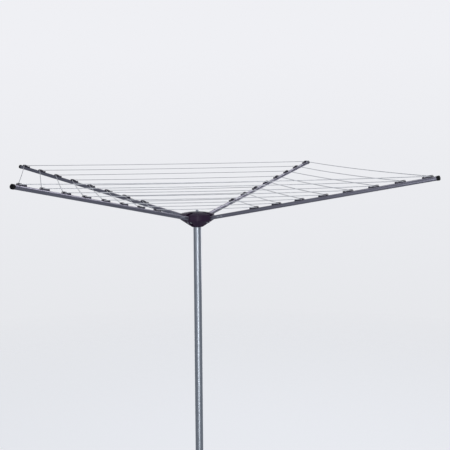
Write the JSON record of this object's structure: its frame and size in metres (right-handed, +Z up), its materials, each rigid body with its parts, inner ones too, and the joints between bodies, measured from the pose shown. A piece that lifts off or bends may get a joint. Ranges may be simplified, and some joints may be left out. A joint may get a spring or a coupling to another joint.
{
  "type": "rotary clothesline",
  "caption": "Folding rotary clothesline: mast in a ground socket, slotted head, radial arms with line clips and nested squares of line.",
  "frame": {"origin": "on the mast's axis at ground level, in the ground socket's outer wall", "axes": "+Z up along the mast, +X along arm_a and +Y along arm_b in plan"},
  "size_m": [2.8518, 2.8518, 2.2459],
  "materials": {
    "galvanised_steel": "satin galvanised",
    "arm_coating": "satin dark grey coating",
    "head_plastic": "moulded, semi-gloss, near-black plum",
    "cap_plastic": "moulded black",
    "clip_plastic": "moulded dark charcoal",
    "line_sheath": "pale grey sheathed line",
    "zinc_steel": "bright zinc plating",
    "socket_plastic": "moulded dark grey",
    "bush_plastic": "moulded natural grey"
  },
  "bodies": {
    "ground_socket": {"socket_sleeve": "socket_plastic", "socket_end_cap": "socket_plastic", "lower_bush": "bush_plastic", "upper_bush": "bush_plastic", "socket_collar": "socket_plastic"},
    "mast": {"mast_tube": "galvanised_steel", "mast_foot": "bush_plastic", "head_stud": "zinc_steel", "hub_body": "head_plastic", "stop_plate": "zinc_steel", "hub_cover": "head_plastic", "cover_screws": "zinc_steel", "cap_washer": "zinc_steel", "cap_nut": "zinc_steel", "pivot_pins": "zinc_steel", "pivot_washers": "zinc_steel"},
    "arm_a": {"arm_tube_a": "arm_coating", "end_cap_a": "cap_plastic", "arm_shoe_a": "head_plastic", "shoe_rivets_a": "zinc_steel", "line_clips_a": "clip_plastic", "clip_rivets_a": "zinc_steel", "washing_line_a": "line_sheath"},
    "arm_b": {"arm_tube_b": "arm_coating", "end_cap_b": "cap_plastic", "arm_shoe_b": "head_plastic", "shoe_rivets_b": "zinc_steel", "line_clips_b": "clip_plastic", "clip_rivets_b": "zinc_steel", "washing_line_b": "line_sheath"},
    "arm_c": {"arm_tube_c": "arm_coating", "end_cap_c": "cap_plastic", "arm_shoe_c": "head_plastic", "shoe_rivets_c": "zinc_steel", "line_clips_c": "clip_plastic", "clip_rivets_c": "zinc_steel", "washing_line_c": "line_sheath"},
    "arm_d": {"arm_tube_d": "arm_coating", "end_cap_d": "cap_plastic", "arm_shoe_d": "head_plastic", "shoe_rivets_d": "zinc_steel", "line_clips_d": "clip_plastic", "clip_rivets_d": "zinc_steel", "washing_line_d": "line_sheath"}
  },
  "joints": [
    {"name": "mast_spin", "type": "hinge", "parent": "ground_socket", "child": "mast", "pos_m": [0, 0, 0], "axis": [0, 0, 1], "continuous": true},
    {"name": "arm_a_fold", "type": "hinge", "parent": "mast", "child": "arm_a", "pos_m": [0.071, 0, 1.5965], "axis": [0, -1, 0], "range_deg": [0, 76], "deforming": ["washing_line_a"]},
    {"name": "arm_b_fold", "type": "hinge", "parent": "mast", "child": "arm_b", "pos_m": [0, 0.071, 1.5965], "axis": [1, 0, 0], "range_deg": [0, 76], "deforming": ["washing_line_b"]},
    {"name": "arm_c_fold", "type": "hinge", "parent": "mast", "child": "arm_c", "pos_m": [-0.071, 0, 1.5965], "axis": [0, 1, 0], "range_deg": [0, 76], "deforming": ["washing_line_c"]},
    {"name": "arm_d_fold", "type": "hinge", "parent": "mast", "child": "arm_d", "pos_m": [0, -0.071, 1.5965], "axis": [-1, 0, 0], "range_deg": [0, 76], "deforming": ["washing_line_d"]}
  ],
  "couplings": [
    {"joint": "arm_b_fold", "follows": "arm_a_fold", "ratio": 1},
    {"joint": "arm_c_fold", "follows": "arm_a_fold", "ratio": 1},
    {"joint": "arm_d_fold", "follows": "arm_a_fold", "ratio": 1}
  ]
}
